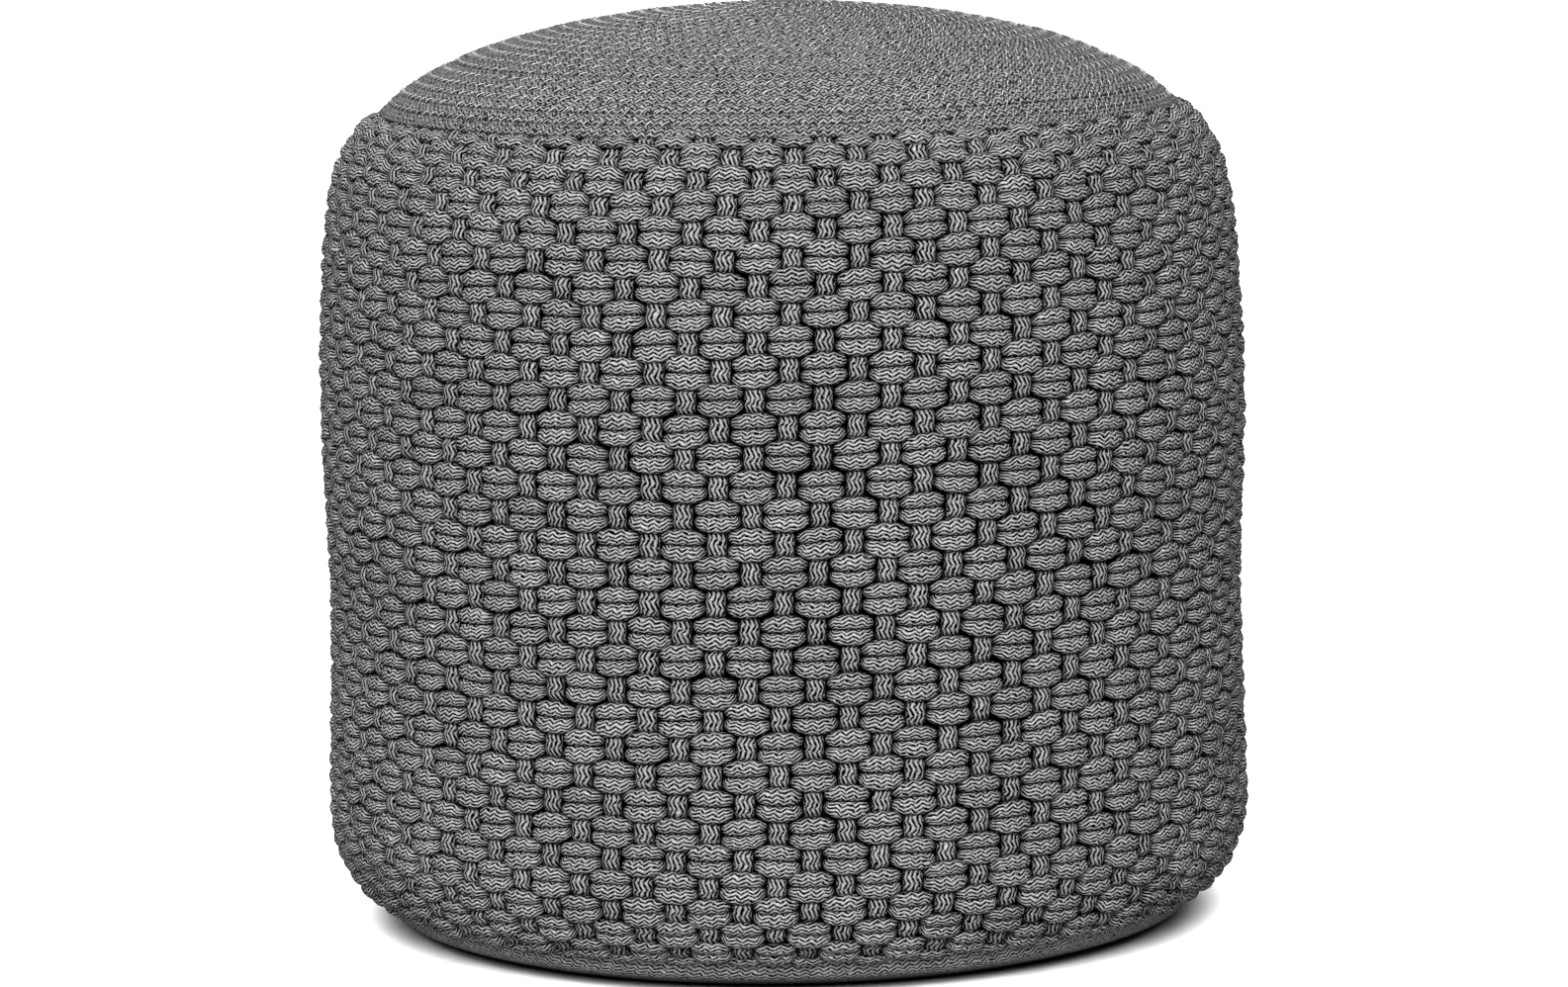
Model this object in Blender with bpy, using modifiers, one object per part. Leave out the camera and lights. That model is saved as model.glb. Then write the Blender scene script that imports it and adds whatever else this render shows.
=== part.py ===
"""Round pouf of braided cord: a filled drum with a plain-weave side, a sewn top panel and a plain base panel.

Metres, +Z up. The origin is the centre of the base, on the floor, and the front is toward -Y.
"""

from collections import namedtuple
from math import atan2, cos, pi, radians, sin

import bmesh
import bpy
import numpy as np

# The outer outline, from the crown, down the side, to the edge of the flat that stands on the floor
Section = namedtuple("Section", "radius height")
SECTIONS = (
    Section(0.0000, 0.4975),
    Section(0.0600, 0.4945),
    Section(0.1070, 0.4880),
    Section(0.1520, 0.4770),
    Section(0.1880, 0.4620),
    Section(0.2135, 0.4460),
    Section(0.2290, 0.4315),
    Section(0.2405, 0.4080),
    Section(0.2470, 0.3600),
    Section(0.2500, 0.2800),
    Section(0.2474, 0.1800),
    Section(0.2495, 0.0900),
    Section(0.2495, 0.0550),
    Section(0.2400, 0.0300),
    Section(0.2220, 0.0130),
    Section(0.2000, 0.0040),
    Section(0.1720, 0.0000),
)

# The weave. Lengths along are measured down the outline from the crown
WARP_CORDS = 89
FRONT_WARP = 46  # the warps are counted from the back, to the left as seen from the front
FIRST_ROW_ALONG = 0.2414  # row 0 at the front; one more row is half under the top panel
ROW_PITCH = 0.01431
ROW_LAG = 0.0028  # the upper rows lie a little tighter than the lower ones
ROWS = 31
HIDDEN_TURNS = 2  # turns of the skin that start under the top panel
FRONT_ROW_PART = FRONT_WARP / WARP_CORDS  # how much of its turn the weft has made when it reaches the front
LEVEL_ROW = 12  # the row at which the front warp's direction is given
WARP_FACING = radians(-3.69)  # the front warp's direction there: 0 is the front, and it grows to the right
WARP_TWIST = radians(-9.56)  # the warps lean this much for each metre down the outline
WEAVE_DEPTH = 0.004  # from the top of a weft cord to the warp beside it

# The panels, which lie over the drum's two ends
PANEL_THICKNESS = 0.004
RIM_THICKNESS = 0.002
RIM_ROUND = 0.001
GAP = 0.0006
TOP_RIM_ALONG = 0.226
BASE_RIM_ALONG = 0.664
TOP_LEVELS = (0.0, 0.060, 0.110, 0.160, 0.196)  # rings shared by the top panel and the drum under it
TOP_EDGE_LEVELS = (0.210, 0.218)
BASE_LEVELS = (0.675, 0.690, 0.710)
PANEL_STEPS = 64

CORD_GREY = (0.30, 0.30, 0.30, 1.0)
MERGE = 0.0001


class Outline:
    """The smooth curve through the sections, read by its length from the crown."""

    def __init__(self, sections, steps_between=24):
        knots = np.array(sections)
        spans = np.hypot(*np.diff(knots, axis=0).T)
        lengths = np.concatenate([[0.0], np.cumsum(spans)])
        mirrored_start = knots[1] * (-1, 1)
        level_end = 2 * knots[-1] - knots[-2]
        level_end[1] = knots[-1][1]
        padded = np.vstack([mirrored_start, knots, level_end])
        padded_lengths = np.concatenate([[-spans[0]], lengths, [lengths[-1] + spans[-1]]])
        slopes = (padded[2:] - padded[:-2]) / (padded_lengths[2:] - padded_lengths[:-2])[:, None]
        t = np.linspace(0.0, 1.0, steps_between, endpoint=False)[:, None]
        pieces = []
        for start, end, slope_in, slope_out, span in zip(knots, knots[1:], slopes, slopes[1:], spans):
            pieces.append(
                (2 * t**3 - 3 * t**2 + 1) * start
                + (t**3 - 2 * t**2 + t) * span * slope_in
                + (3 * t**2 - 2 * t**3) * end
                + (t**3 - t**2) * span * slope_out
            )
        self.points = np.vstack([*pieces, knots[-1:]])
        steps = np.hypot(*np.diff(self.points, axis=0).T)
        self.lengths = np.concatenate([[0.0], np.cumsum(steps)])
        self.total = self.lengths[-1]

    def at(self, along, depth=0.0):
        """Radius and height at this length from the crown, this far inside the outline."""
        radius, height = (np.interp(along, self.lengths, column) for column in self.points.T)
        reach = 0.002
        ends = np.clip([along - reach, along + reach], 0.0, self.total)
        outward, upward = (np.diff(np.interp(ends, self.lengths, column))[0] for column in self.points.T)
        size = np.hypot(outward, upward)
        return max(radius + depth * upward / size, 0.0), height - depth * outward / size


def clear_scene():
    for obj in list(bpy.data.objects):
        bpy.data.objects.remove(obj, do_unlink=True)


def cord_material(name, roughness):
    """The grey cord's colour on a soft, matte surface."""
    material = bpy.data.materials.new(name)
    material.use_nodes = True
    shader = material.node_tree.nodes["Principled BSDF"]
    shader.inputs["Base Color"].default_value = CORD_GREY
    shader.inputs["Roughness"].default_value = roughness
    shader.inputs["Metallic"].default_value = 0.0
    return material


def place_object(name, mesh, material, collection):
    obj = bpy.data.objects.new(name, mesh)
    obj.data.materials.append(material)
    collection.objects.link(obj)
    return obj


def row_along(turns):
    """Where the weft lies on the outline after this many turns, counted from the back of the first row."""
    rows = turns - FRONT_ROW_PART
    return FIRST_ROW_ALONG + ROW_PITCH * rows - ROW_LAG * sin(2 * pi * rows / ROWS)


def warp_facing(warp, along):
    """The direction of a warp at this level."""
    level = row_along(LEVEL_ROW + FRONT_ROW_PART)
    return WARP_FACING + (FRONT_WARP - warp) * 2 * pi / WARP_CORDS + WARP_TWIST * (along - level)


def weave_depth(along, is_weft_on_top):
    """How far inside the outline the weave lies. It sinks toward each panel's rim and passes under it."""
    if not TOP_RIM_ALONG < along < BASE_RIM_ALONG:
        return PANEL_THICKNESS + 2 * GAP
    to_rim = min(along - TOP_RIM_ALONG, BASE_RIM_ALONG - along)
    sunk = (RIM_THICKNESS + 2 * GAP) * max(0.0, 1.0 - to_rim / ROW_PITCH)
    return sunk if is_weft_on_top else sunk + WEAVE_DEPTH


def add_ring(bm, edges, radius, height):
    """Extrudes an open end of the skin onto a level ring, each point keeping its own direction."""
    made = bmesh.ops.extrude_edge_only(bm, edges=edges)["geom"]
    ring = [item for item in made if isinstance(item, bmesh.types.BMVert)]
    for vert in ring:
        facing = atan2(vert.co.y, vert.co.x)
        vert.co = (radius * cos(facing), radius * sin(facing), height)
    bmesh.ops.remove_doubles(bm, verts=ring, dist=MERGE)
    ring = {vert for vert in ring if vert.is_valid}
    return [edge for edge in bm.edges if edge.is_boundary and ring.issuperset(edge.verts)]


def make_woven_side(outline, collection):
    """The filled drum. One weft winds round an odd number of warps, so its turns alternate by themselves."""
    first_turn = -HIDDEN_TURNS
    turns = ROWS + HIDDEN_TURNS
    bm = bmesh.new()
    bmesh.ops.create_grid(bm, x_segments=WARP_CORDS, y_segments=turns, size=1.0)
    low_points = []
    for vert in bm.verts:
        warp = round((vert.co.x + 1.0) / 2.0 * WARP_CORDS)
        turn = first_turn + round((vert.co.y + 1.0) / 2.0 * turns)
        along = row_along(turn + warp / WARP_CORDS)
        is_weft_on_top = (warp + turn) % 2 == 0
        radius, height = outline.at(along, weave_depth(along, is_weft_on_top))
        facing = warp_facing(warp, along)
        vert.co = (radius * sin(facing), -radius * cos(facing), height)
        if not is_weft_on_top:
            low_points.append(vert)
    bmesh.ops.connect_verts(bm, verts=low_points)
    bmesh.ops.remove_doubles(bm, verts=bm.verts[:], dist=MERGE)

    middle = SECTIONS[0].height / 2.0
    open_edges = [edge for edge in bm.edges if edge.is_boundary]
    under_panel = PANEL_THICKNESS + GAP
    top_edges = [edge for edge in open_edges if edge.verts[0].co.z > middle]
    for along in reversed(TOP_LEVELS):
        top_edges = add_ring(bm, top_edges, *outline.at(along, under_panel))
    base_edges = [edge for edge in open_edges if edge.verts[0].co.z < middle]
    for radius, height in ((SECTIONS[-1].radius, under_panel), (0.0, under_panel)):
        base_edges = add_ring(bm, base_edges, radius, height)

    mesh = bpy.data.meshes.new("woven_side")
    bm.to_mesh(mesh)
    bm.free()
    return place_object("woven_side", mesh, cord_material("cord_weave", 0.9), collection)


def turned_panel(name, profile, roughness, collection):
    """A round panel: a cross-section that runs from the axis, round the rim and back, turned once."""
    mesh = bpy.data.meshes.new(name)
    edges = [(i, i + 1) for i in range(len(profile) - 1)]
    mesh.from_pydata([(radius, 0.0, height) for radius, height in profile], edges, [])
    obj = place_object(name, mesh, cord_material(name + "_fabric", roughness), collection)
    screw = obj.modifiers.new("turn", "SCREW")
    screw.steps = PANEL_STEPS
    screw.render_steps = PANEL_STEPS
    screw.use_merge_vertices = True
    screw.merge_threshold = MERGE
    screw.use_smooth_shade = True
    return obj


def rounded_rim(outline, along, inset):
    """A panel's edge from its outer face to its inner one, its corners set back by inset."""
    middle = outline.at(along, RIM_THICKNESS / 2)
    return [outline.at(along + inset), middle, outline.at(along + inset, RIM_THICKNESS)]


def make_top_panel(outline, collection):
    """The crowned mat over the top opening, thinner at its rim, where it is sewn down on the weave."""
    levels = TOP_LEVELS + TOP_EDGE_LEVELS
    outer = [outline.at(along) for along in levels]
    rim = rounded_rim(outline, TOP_RIM_ALONG, -RIM_ROUND)
    inner = [outline.at(along, PANEL_THICKNESS) for along in reversed(levels)]
    return turned_panel("top_panel", outer + rim + inner, 0.92, collection)


def make_base_panel(outline, collection):
    """The plain round under the drum, turned up at its rim. Its flat underside stands on the floor."""
    flat = SECTIONS[-1].radius
    inner = [outline.at(along, PANEL_THICKNESS) for along in reversed(BASE_LEVELS + (outline.total,))]
    rim = rounded_rim(outline, BASE_RIM_ALONG, RIM_ROUND)[::-1]
    outer = [outline.at(along) for along in BASE_LEVELS]
    profile = [(0.0, PANEL_THICKNESS), *inner, *rim, *outer, (flat, 0.0), (0.0, 0.0)]
    return turned_panel("base_panel", profile, 0.95, collection)


def main():
    clear_scene()
    collection = bpy.data.collections.new("woven_pouf")
    bpy.context.scene.collection.children.link(collection)
    outline = Outline(SECTIONS)
    make_woven_side(outline, collection)
    make_top_panel(outline, collection)
    make_base_panel(outline, collection)


main()
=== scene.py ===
"""The looks of a round pouf of braided cord: its woven side, its coiled and sewn top and its plain base."""

import logging
import math
from dataclasses import dataclass, field
from enum import Enum

import bpy
import numpy as np
from mathutils import Matrix, Vector


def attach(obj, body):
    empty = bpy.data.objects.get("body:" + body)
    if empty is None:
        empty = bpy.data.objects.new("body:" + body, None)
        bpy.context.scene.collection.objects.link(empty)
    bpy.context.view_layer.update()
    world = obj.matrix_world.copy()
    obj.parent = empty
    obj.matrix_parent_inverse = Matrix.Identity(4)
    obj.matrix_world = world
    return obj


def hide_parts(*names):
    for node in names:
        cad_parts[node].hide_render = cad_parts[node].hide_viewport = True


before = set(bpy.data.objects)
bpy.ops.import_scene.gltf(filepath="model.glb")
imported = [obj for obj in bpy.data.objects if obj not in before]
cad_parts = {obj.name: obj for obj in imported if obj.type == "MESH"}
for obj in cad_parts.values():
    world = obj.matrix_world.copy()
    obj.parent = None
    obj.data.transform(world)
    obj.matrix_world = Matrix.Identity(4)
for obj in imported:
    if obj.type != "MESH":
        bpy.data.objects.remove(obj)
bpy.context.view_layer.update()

log = logging.getLogger("pouf")

ROOT = "root"
UV_MAP = "cord"
# Brightness of each point: the cord's random tone times painted shade between the cords and painted glints
# on the stitches
TONE_AND_PAINTED_LIGHT = "tone_and_painted_light"
NUMBER = "NodeSocketFloat"
VECTOR = "NodeSocketVector"

# The two ends of a range, or where a gradual change starts and ends
Span = tuple[float, float]


class Part(Enum):
    """The pouf's three parts: the solid that its pieces stand for, and the slot name for its finish."""

    SIDE = ("woven_side", "cord_weave")
    TOP = ("top_panel", "cord_top")
    BASE = ("base_panel", "base_fabric")


@dataclass(frozen=True)
class Section:
    """One level of the pouf's outer outline, in metres."""

    radius: float
    height: float


SECTIONS = (
    Section(0.0000, 0.4975),
    Section(0.0600, 0.4945),
    Section(0.1070, 0.4880),
    Section(0.1520, 0.4770),
    Section(0.1880, 0.4620),
    Section(0.2135, 0.4460),
    Section(0.2290, 0.4315),
    Section(0.2405, 0.4080),
    Section(0.2470, 0.3600),
    Section(0.2500, 0.2800),
    Section(0.2474, 0.1800),
    Section(0.2495, 0.0900),
    Section(0.2495, 0.0550),
    Section(0.2400, 0.0300),
    Section(0.2220, 0.0130),
    Section(0.2000, 0.0040),
    Section(0.1720, 0.0000),
)


def smooth_step(value: np.ndarray, low: float, high: float) -> np.ndarray:
    """Rises from 0 at low to 1 at high along 3t^2 - 2t^3.

    Args:
        value: The numbers to read.
        low: Where the rise starts.
        high: Where it ends.

    Returns:
        Numbers from 0 to 1, in the shape of value.
    """
    t = np.clip((value - low) / (high - low), 0.0, 1.0)
    return t * t * (3.0 - 2.0 * t)


def unit(vectors: np.ndarray) -> np.ndarray:
    """Vectors along the last axis, each divided by its length."""
    return vectors / np.maximum(np.linalg.norm(vectors, axis=-1, keepdims=True), 1e-12)


def turned(facing: np.ndarray, radius: np.ndarray, height: np.ndarray) -> np.ndarray:
    """Points at (r sin a, -r cos a, h): direction a is 0 at the front, -Y, and grows to the right, +X.

    Args:
        facing: Directions a round the axis, in radians.
        radius: Distances r from the axis.
        height: Heights h.

    Returns:
        Points, with x, y and z on the last axis.
    """
    columns = np.broadcast_arrays(radius * np.sin(facing), -radius * np.cos(facing), height)
    return np.stack(columns, axis=-1)


@dataclass(frozen=True)
class Uneven:
    """A small random change: normal draws of this spread, none further from 0 than most."""

    spread: float
    most: float

    def draw(self, rng: np.random.Generator, size: int | tuple[int, int]) -> np.ndarray:
        """Draws changes in this size of array."""
        return np.clip(rng.normal(0.0, self.spread, size), -self.most, self.most)


@dataclass
class Outline:
    """The smooth curve through the sections, read by its length from the crown.

    Between two sections the curve is a cubic. Its slope at each section is that of the line between the
    section's two neighbours.
    """

    sections: tuple[Section, ...] = SECTIONS
    steps_between: int = 24
    slope_reach: float = 0.002
    points: np.ndarray = field(init=False)
    lengths: np.ndarray = field(init=False)

    def __post_init__(self) -> None:
        """Works out the curve's points and their lengths from the crown."""
        knots = np.array([(section.radius, section.height) for section in self.sections])
        spans = np.hypot(*np.diff(knots, axis=0).T)
        level_end = 2 * knots[-1] - knots[-2]
        level_end[1] = knots[-1][1]
        padded = np.vstack([knots[1] * (-1, 1), knots, level_end])
        at = np.concatenate([[0.0], np.cumsum(spans)])
        at = np.concatenate([[-spans[0]], at, [at[-1] + spans[-1]]])
        slopes = (padded[2:] - padded[:-2]) / (at[2:] - at[:-2])[:, None]
        t = np.linspace(0.0, 1.0, self.steps_between, endpoint=False)[None, :, None]
        span = spans[:, None, None]
        curve = (
            (2 * t**3 - 3 * t**2 + 1) * knots[:-1, None]
            + (t**3 - 2 * t**2 + t) * span * slopes[:-1, None]
            + (3 * t**2 - 2 * t**3) * knots[1:, None]
            + (t**3 - t**2) * span * slopes[1:, None]
        )
        self.points = np.vstack([curve.reshape(-1, 2), knots[-1:]])
        steps = np.hypot(*np.diff(self.points, axis=0).T)
        self.lengths = np.concatenate([[0.0], np.cumsum(steps)])

    @property
    def total(self) -> float:
        """The curve's whole length, from the crown to the edge of the flat underside."""
        return float(self.lengths[-1])

    def read(self, along: np.ndarray) -> list[np.ndarray]:
        """Radius and height of the curve at lengths from the crown."""
        return [np.interp(along, self.lengths, column) for column in self.points.T]

    def section_at(self, along: np.ndarray) -> tuple[np.ndarray, np.ndarray, np.ndarray, np.ndarray]:
        """Radius, height and outward normal of the outline at a length from the crown.

        Args:
            along: Lengths down the outline, in metres.

        Returns:
            Radius, height, the normal's radial part and the normal's upward part.
        """
        radius, height = self.read(along)
        above = self.read(np.clip(along - self.slope_reach, 0.0, self.total))
        below = self.read(np.clip(along + self.slope_reach, 0.0, self.total))
        outward, upward = np.subtract(below, above)
        size = np.maximum(np.hypot(outward, upward), 1e-9)
        return radius, height, -upward / size, outward / size

    def surface(self, facing: np.ndarray, along: np.ndarray, depth: np.ndarray) -> np.ndarray:
        """Points on the turned outline, or inside it.

        Args:
            facing: Directions round the axis, in radians.
            along: Lengths down the outline.
            depth: How far inside the outline each point lies.

        Returns:
            Points, with x, y and z on the last axis.
        """
        radius, height, normal_out, normal_up = self.section_at(along)
        return turned(facing, np.maximum(radius - depth * normal_out, 0.0), height - depth * normal_up)

    def normals(self, facing: np.ndarray, along: np.ndarray) -> np.ndarray:
        """Outward normals of the turned outline, with x, y and z on the last axis."""
        _, _, out, up = self.section_at(along)
        return turned(facing, out, up)


@dataclass
class WeaveLayout:
    """Where each warp and each turn of the weft lies on the outline.

    One weft winds down round an odd number of warps, so each turn passes over the warps that the turn above
    passed under. A place on the weft is its turns: whole turns plus the part of the turn that it has made
    from the back. The sizes top_rim and base_rim are where the two panels' rims lie on the outline.
    """

    outline: Outline
    warps: int = 89
    front_warp: int = 46
    rows: int = 31
    first_row: float = 0.2414
    row_pitch: float = 0.01431
    row_lag: float = 0.0028
    row_tilt: float = 0.0013
    tilt_fade: float = 0.06
    level_row: int = 12
    warp_facing: float = math.radians(-3.69)
    warp_twist: float = math.radians(-9.56)
    slack: float = math.radians(1.7)
    slack_opens: Span = (math.radians(10), math.radians(60))
    slack_closes: Span = (math.radians(110), math.radians(170))
    top_rim: float = 0.2150
    base_rim: float = 0.6745
    sunk: float = 0.0062
    top_sinks: Span = (0.004, 0.018)
    base_sinks: Span = (-0.013, 0.005)

    def row_along(self, turns: np.ndarray) -> np.ndarray:
        """Length down the outline after these turns: an even pitch, with a slow wave of row_lag.

        Args:
            turns: Places on the weft.

        Returns:
            Lengths from the crown, in the shape of turns.
        """
        rows = turns - self.front_warp / self.warps
        wave = np.sin(2 * np.pi * rows / self.rows)
        return self.first_row + self.row_pitch * rows - self.row_lag * wave

    def facing(self, warp: np.ndarray, along: np.ndarray) -> np.ndarray:
        """Direction of a warp at a level: even steps to the left, and a slow lean down the side.

        The warps are drawn apart on the right, by slack all told, and together again behind.

        Args:
            warp: The warps' numbers, counted from the back, to the left as seen from the front.
            along: Lengths down the outline.

        Returns:
            Directions round the axis, in radians.
        """
        level = float(self.row_along(np.array(self.level_row + self.front_warp / self.warps)))
        even = self.warp_facing + (self.front_warp - warp) * (2 * math.pi / self.warps)
        even = even + self.warp_twist * (along - level)
        from_front = (even + np.pi) % (2 * np.pi) - np.pi
        opened = smooth_step(from_front, *self.slack_opens)
        return even + self.slack * (opened - smooth_step(from_front, *self.slack_closes))

    def tilted(self, facing: np.ndarray, along: np.ndarray) -> np.ndarray:
        """Lengths down the outline with the whole weave tilted a little, higher on the right.

        Args:
            facing: Directions round the axis, in radians.
            along: Lengths down the outline before the tilt.

        Returns:
            Lengths down the outline. At the two rims they stay as they were.
        """
        fade = smooth_step(along, self.top_rim, self.top_rim + self.tilt_fade)
        fade = fade * (1.0 - smooth_step(along, self.base_rim - self.tilt_fade, self.base_rim))
        return along - self.row_tilt * fade * np.sin(facing)

    def sink(self, along: np.ndarray) -> np.ndarray:
        """How far the weave sinks toward each panel's rim, to pass under it."""
        top = 1.0 - smooth_step(along - self.top_rim, *self.top_sinks)
        return self.sunk * (top + smooth_step(along - self.base_rim, *self.base_sinks))


@dataclass
class MeshParts:
    """Points, faces and UVs of one piece, gathered before the mesh is made."""

    points: list[np.ndarray] = field(default_factory=list)
    corners: list[np.ndarray] = field(default_factory=list)
    totals: list[np.ndarray] = field(default_factory=list)
    uvs: list[np.ndarray] = field(default_factory=list)
    tones_and_painted_light: list[np.ndarray] = field(default_factory=list)
    count: int = 0

    def add(self, points: np.ndarray, tone_and_painted_light: np.ndarray) -> int:
        """Adds points.

        Args:
            points: Points, with x, y and z on the last axis.
            tone_and_painted_light: A brightness for each of them.

        Returns:
            The first one's index.
        """
        start = self.count
        self.points.append(points.reshape(-1, 3))
        self.tones_and_painted_light.append(np.broadcast_to(tone_and_painted_light, points.shape[:-1]).reshape(-1))
        self.count += len(self.points[-1])
        return start

    def add_faces(self, corners: np.ndarray, uv: np.ndarray) -> None:
        """Adds faces of one size.

        Args:
            corners: Point indices, with a face's corners on the last axis.
            uv: A UV for each corner, in the same order.
        """
        corners = corners.reshape(-1, corners.shape[-1])
        self.corners.append(corners.reshape(-1))
        self.totals.append(np.full(len(corners), corners.shape[-1]))
        self.uvs.append(uv.reshape(-1, 2))

    def make_piece(self, name: str, material: bpy.types.Material, part: Part) -> bpy.types.Object:
        """Makes the piece's object, rides it on the pouf and hides the imported part that it stands for.

        Args:
            name: The piece's name.
            material: Its finish.
            part: The part that it makes, or helps to make.

        Returns:
            The new object, at the origin.
        """
        points = np.concatenate(self.points)
        corners = np.concatenate(self.corners)
        totals = np.concatenate(self.totals)
        mesh = bpy.data.meshes.new(name)
        mesh.vertices.add(len(points))
        mesh.vertices.foreach_set("co", points.astype(np.float32).ravel())
        mesh.loops.add(len(corners))
        mesh.loops.foreach_set("vertex_index", corners.astype(np.int32))
        mesh.polygons.add(len(totals))
        starts = np.concatenate([[0], np.cumsum(totals)[:-1]])
        mesh.polygons.foreach_set("loop_start", starts.astype(np.int32))
        mesh.polygons.foreach_set("loop_total", totals.astype(np.int32))
        mesh.update(calc_edges=True)
        layer = mesh.uv_layers.new(name=UV_MAP)
        layer.data.foreach_set("uv", np.concatenate(self.uvs).astype(np.float32).ravel())
        tone_and_painted_light = mesh.attributes.new(TONE_AND_PAINTED_LIGHT, "FLOAT", "POINT")
        tone_and_painted_light.data.foreach_set("value", np.concatenate(self.tones_and_painted_light).astype(np.float32))
        mesh.polygons.foreach_set("use_smooth", np.ones(len(totals), dtype=bool))
        mesh.materials.append(material)
        mesh.validate()
        piece = bpy.data.objects.new(name, mesh)
        bpy.context.scene.collection.objects.link(piece)
        node, slot = part.value
        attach(piece, ROOT)
        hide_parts(node)
        log.info("%s: %d triangles", name, int((totals - 2).sum()))
        return piece


@dataclass
class Sweep:
    """Cords swept along paths: each ring is an ellipse square to its path, flat side out.

    The ring's painted shade darkens each cord where it meets the next one and on its inner side, where
    shade falls between the cords. It is told by the sine of the angle round the ring, which is 1 on the
    outward side. side_shade is what is left of the tone where a cord meets the next one, back_shade on its
    inner side, and twin_shade where its twin is pressed against it. A side starts where the sine or the
    cosine passes edge.
    The braid is spaced round the ring as on an ellipse uv_flatness times as thick as it is wide.
    """

    angles: tuple[float, ...] = (0.0, 24.0, 52.0, 90.0, 128.0, 156.0, 180.0, 270.0)
    squareness: float = 1.0
    side_shade: float = 0.06
    side_rise: Span = (0.10, 0.72)
    back_shade: float = 0.1
    twin_shade: float = 0.12
    twin_rise: Span = (0.0, 0.5)
    edge: float = 0.1
    uv_flatness: float = 0.75

    def rounded(self, wave: np.ndarray) -> np.ndarray:
        """A sine or cosine raised to the power squareness, with its sign kept."""
        return np.sign(wave) * np.abs(wave) ** self.squareness

    def painted_ring_shade(self, sine: np.ndarray, cosine: np.ndarray, twin: float) -> np.ndarray:
        """How much of its tone a cord keeps at each point of its ring.

        Args:
            sine: The sines of the points' angles.
            cosine: Their cosines.
            twin: The side where a twin cord is pressed against it, told as in add.

        Returns:
            A part of the tone for each point.
        """
        # Painted shade: darker where the cord meets the next one and on its inner side
        facing_out = self.side_shade + (1.0 - self.side_shade) * smooth_step(sine, *self.side_rise)
        facing_out = facing_out * np.where(sine < -self.edge, self.back_shade, 1.0)
        pressed = self.twin_shade + (1.0 - self.twin_shade) * smooth_step(sine, *self.twin_rise)
        return np.where((twin * cosine > self.edge) & (sine > -self.edge), pressed, facing_out)

    def add(
        self,
        parts: MeshParts,
        path: np.ndarray,
        normal: np.ndarray,
        half_width: np.ndarray,
        half_depth: np.ndarray,
        tone_and_painted_light: np.ndarray,
        start_along: np.ndarray,
        twin: float = 0.0,
    ) -> None:
        """Adds closed cords to a piece.

        A ring point is the path's point plus half_width * cos(a) along the side vector and half_depth *
        sin(a) along the outward vector, both square to the path, with the sine and cosine rounded.

        Args:
            parts: The piece that takes the cords.
            path: Centre points, as (cords, steps, 3).
            normal: The surface's outward normals at those points.
            half_width: Half the cord's width, (cords, steps).
            half_depth: Half its thickness, (cords, steps).
            tone_and_painted_light: A brightness for each step, (cords, steps).
            start_along: How far along its braid each cord starts, (cords,).
            twin: 1 or -1 for a twin cord pressed against the side of angle 0 or 180 degrees, 0 for none.
        """
        cords, steps, _ = path.shape
        along = unit(np.gradient(path, axis=1))
        side = unit(np.cross(along, normal))
        out = unit(np.cross(side, along))
        angle = np.radians(self.angles)
        count = len(angle)
        cosine = self.rounded(np.cos(angle))
        sine = self.rounded(np.sin(angle))
        points = (
            path[:, :, None]
            + half_width[..., None, None] * cosine[:, None] * side[:, :, None]
            + half_depth[..., None, None] * sine[:, None] * out[:, :, None]
        )
        # The tone and painted light of each step, times the ring's painted shade
        start = parts.add(points, tone_and_painted_light[..., None] * self.painted_ring_shade(np.sin(angle), np.cos(angle), twin))
        index = start + np.arange(cords * steps * count).reshape(cords, steps, count)
        beside = np.roll(index, -1, axis=2)
        quads = np.stack([index[:, :-1], index[:, 1:], beside[:, 1:], beside[:, :-1]], axis=-1)
        step = np.linalg.norm(np.diff(path, axis=1), axis=-1)
        length = np.concatenate([np.zeros((cords, 1)), np.cumsum(step, axis=1)], axis=1)
        length = length + start_along[:, None]
        ring = np.stack([cosine, self.uv_flatness * sine], axis=-1)
        edges = np.linalg.norm(np.diff(ring, axis=0, append=[[1.0, 0.0]]), axis=-1)
        around = np.concatenate([[0.0], np.cumsum(edges)]) / edges.sum()
        u = np.broadcast_to(length[:, :, None], (cords, steps, count))
        v = np.broadcast_to(around[:-1], (cords, steps, count))
        v_next = np.broadcast_to(around[1:], (cords, steps, count))
        us = np.stack([u[:, :-1], u[:, 1:], u[:, 1:], u[:, :-1]], axis=-1)
        vs = np.stack([v[:, :-1], v[:, 1:], v_next[:, 1:], v_next[:, :-1]], axis=-1)
        parts.add_faces(quads, np.stack([us, vs], axis=-1))
        parts.add_faces(index[:, 0], np.stack([u[:, 0], v[:, 0]], axis=-1))
        parts.add_faces(index[:, -1, ::-1], np.stack([u[:, -1], v[:, -1, ::-1]], axis=-1))


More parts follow.
